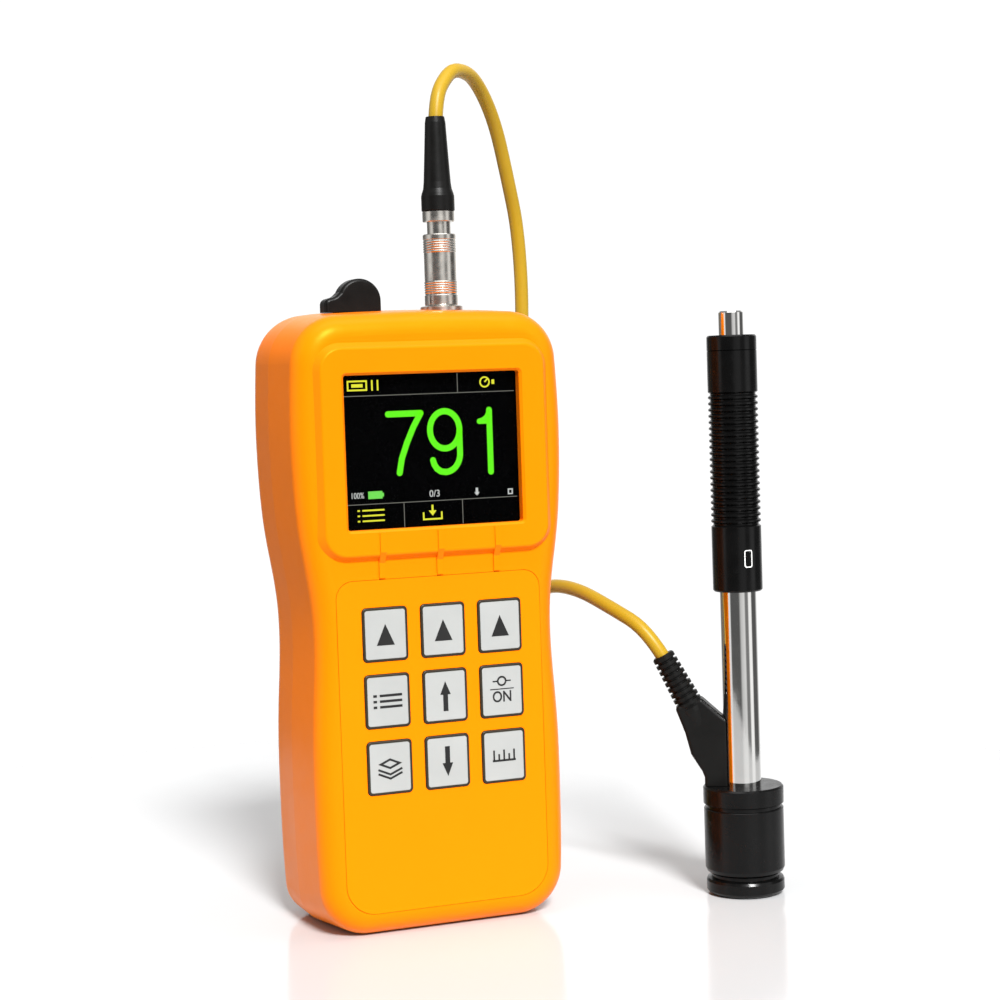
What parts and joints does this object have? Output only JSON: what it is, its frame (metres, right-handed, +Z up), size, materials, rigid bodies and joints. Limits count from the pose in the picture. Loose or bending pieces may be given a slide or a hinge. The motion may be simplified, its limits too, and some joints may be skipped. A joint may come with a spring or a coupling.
{
  "type": "leeb hardness tester",
  "caption": "Hand-held rebound hardness tester: upright instrument with display and keypad, joined by a thin cord to a standing impact probe with a sliding loading tube.",
  "frame": {"origin": "centre of the instrument case at its base, on the surface it stands on, 1 mm in front of the case parting line", "axes": "+Z up; the display and keypad face -Y; +X to the right as the display is read, towards the probe"},
  "size_m": [0.1238, 0.114, 0.2106],
  "materials": {
    "case_orange": "fine satin texture, moulded",
    "overlay_print": "printed polyester film, semi-matt",
    "key_grey": "printed embossed film, dark rim",
    "window_clear": "polished acrylic",
    "screen": "black display face",
    "black_plastic": "moulded",
    "board_green": "solder resist",
    "circuit_film": "clear polyester with silver print",
    "cell_jacket": "printed jacket",
    "contact_plating": "nickel plated",
    "rubber_black": "soft matt",
    "satin_nickel": "satin nickel plate",
    "insulator": "moulded",
    "cord_yellow": "smooth satin jacket",
    "black_anodised": "black anodised, fine turned",
    "polished_steel": "polished",
    "steel": "turned",
    "spring_steel": "drawn wire",
    "carbide": "polished ball",
    "magnet": "ground",
    "brass": "turned",
    "copper": "enamelled wire"
  },
  "bodies": {
    "instrument": {"battery_cells": "cell_jacket", "battery_door": "case_orange", "board_screws": "steel", "buzzer": "black_plastic", "case_screws": "steel", "coil_bobbin": "insulator", "coil_cap": "black_anodised", "coil_housing": "black_anodised", "coil_winding": "copper", "collet_nut": "satin_nickel", "cord_coil": "cord_yellow", "cord_lower": "cord_yellow", "cord_upper": "cord_yellow", "display_frame": "black_plastic", "display_panel": "screen", "display_window": "window_clear", "door_screw": "steel", "front_case": "case_orange", "guide_bush": "brass", "guide_tube": "polished_steel", "impact_spring": "spring_steel", "keypad_circuit": "circuit_film", "keypad_overlay": "overlay_print", "keypad_spacer": "overlay_print", "loading_spring": "spring_steel", "lower_contact": "contact_plating", "main_board": "board_green", "plug_boot": "rubber_black", "plug_insert": "insulator", "plug_shell": "satin_nickel", "probe_plug": "rubber_black", "probe_socket": "satin_nickel", "rear_case": "case_orange", "snap_domes": "contact_plating", "socket_insert": "insulator", "socket_nut": "satin_nickel", "support_ring": "black_anodised", "upper_contacts": "contact_plating", "usb_socket": "contact_plating"},
    "soft_key_left": {"soft_key_left": "key_grey"},
    "soft_key_middle": {"soft_key_middle": "key_grey"},
    "soft_key_right": {"soft_key_right": "key_grey"},
    "mode_key": {"mode_key": "key_grey"},
    "up_key": {"up_key": "key_grey"},
    "power_key": {"power_key": "key_grey"},
    "material_key": {"material_key": "key_grey"},
    "down_key": {"down_key": "key_grey"},
    "scale_key": {"scale_key": "key_grey"},
    "loading_tube": {"loading_tube": "black_anodised", "loading_cap": "black_anodised", "spring_seat": "steel", "catch_chuck": "steel", "button_spring": "spring_steel"},
    "release_button": {"release_button": "polished_steel"},
    "impact_body": {"impact_body": "steel", "impact_ball": "carbide", "impact_magnet": "magnet"},
    "plug_sleeve": {"plug_sleeve": "satin_nickel"},
    "port_cover": {"port_cover": "rubber_black"}
  },
  "joints": [
    {"name": "soft_key_left_press", "type": "slide", "parent": "instrument", "child": "soft_key_left", "axis": [0, 1, 0], "range_m": [0, 0.0004], "stiffness_N_per_m": 1500, "springref_m": -0.0002},
    {"name": "soft_key_middle_press", "type": "slide", "parent": "instrument", "child": "soft_key_middle", "axis": [0, 1, 0], "range_m": [0, 0.0004], "stiffness_N_per_m": 1500, "springref_m": -0.0002},
    {"name": "soft_key_right_press", "type": "slide", "parent": "instrument", "child": "soft_key_right", "axis": [0, 1, 0], "range_m": [0, 0.0004], "stiffness_N_per_m": 1500, "springref_m": -0.0002},
    {"name": "mode_key_press", "type": "slide", "parent": "instrument", "child": "mode_key", "axis": [0, 1, 0], "range_m": [0, 0.0004], "stiffness_N_per_m": 1500, "springref_m": -0.0002},
    {"name": "up_key_press", "type": "slide", "parent": "instrument", "child": "up_key", "axis": [0, 1, 0], "range_m": [0, 0.0004], "stiffness_N_per_m": 1500, "springref_m": -0.0002},
    {"name": "power_key_press", "type": "slide", "parent": "instrument", "child": "power_key", "axis": [0, 1, 0], "range_m": [0, 0.0004], "stiffness_N_per_m": 1500, "springref_m": -0.0002},
    {"name": "material_key_press", "type": "slide", "parent": "instrument", "child": "material_key", "axis": [0, 1, 0], "range_m": [0, 0.0004], "stiffness_N_per_m": 1500, "springref_m": -0.0002},
    {"name": "down_key_press", "type": "slide", "parent": "instrument", "child": "down_key", "axis": [0, 1, 0], "range_m": [0, 0.0004], "stiffness_N_per_m": 1500, "springref_m": -0.0002},
    {"name": "scale_key_press", "type": "slide", "parent": "instrument", "child": "scale_key", "axis": [0, 1, 0], "range_m": [0, 0.0004], "stiffness_N_per_m": 1500, "springref_m": -0.0002},
    {"name": "loading_tube_slide", "type": "slide", "parent": "instrument", "child": "loading_tube", "axis": [0, 0, 1], "range_m": [-0.028, 0], "stiffness_N_per_m": 300, "springref_m": 0.01, "deforming": ["loading_spring", "impact_spring"]},
    {"name": "release_button_press", "type": "slide", "parent": "loading_tube", "child": "release_button", "axis": [0, 0, 1], "range_m": [-0.0022, 0], "stiffness_N_per_m": 500, "springref_m": 0.002, "deforming": ["button_spring"]},
    {"name": "impact_body_slide", "type": "slide", "parent": "instrument", "child": "impact_body", "axis": [0, 0, 1], "range_m": [0, 0.026]},
    {"name": "plug_sleeve_slide", "type": "slide", "parent": "instrument", "child": "plug_sleeve", "axis": [0, 0, 1], "range_m": [0, 0.002], "stiffness_N_per_m": 800, "springref_m": -0.001},
    {"name": "port_cover_flex", "type": "hinge", "parent": "instrument", "child": "port_cover", "pos_m": [-0.0202, -0.00035, 0.1503], "axis": [0, -1, 0], "range_deg": [0, 100], "stiffness_Nm_per_rad": 0.002, "springref_deg": -11.46}
  ]
}
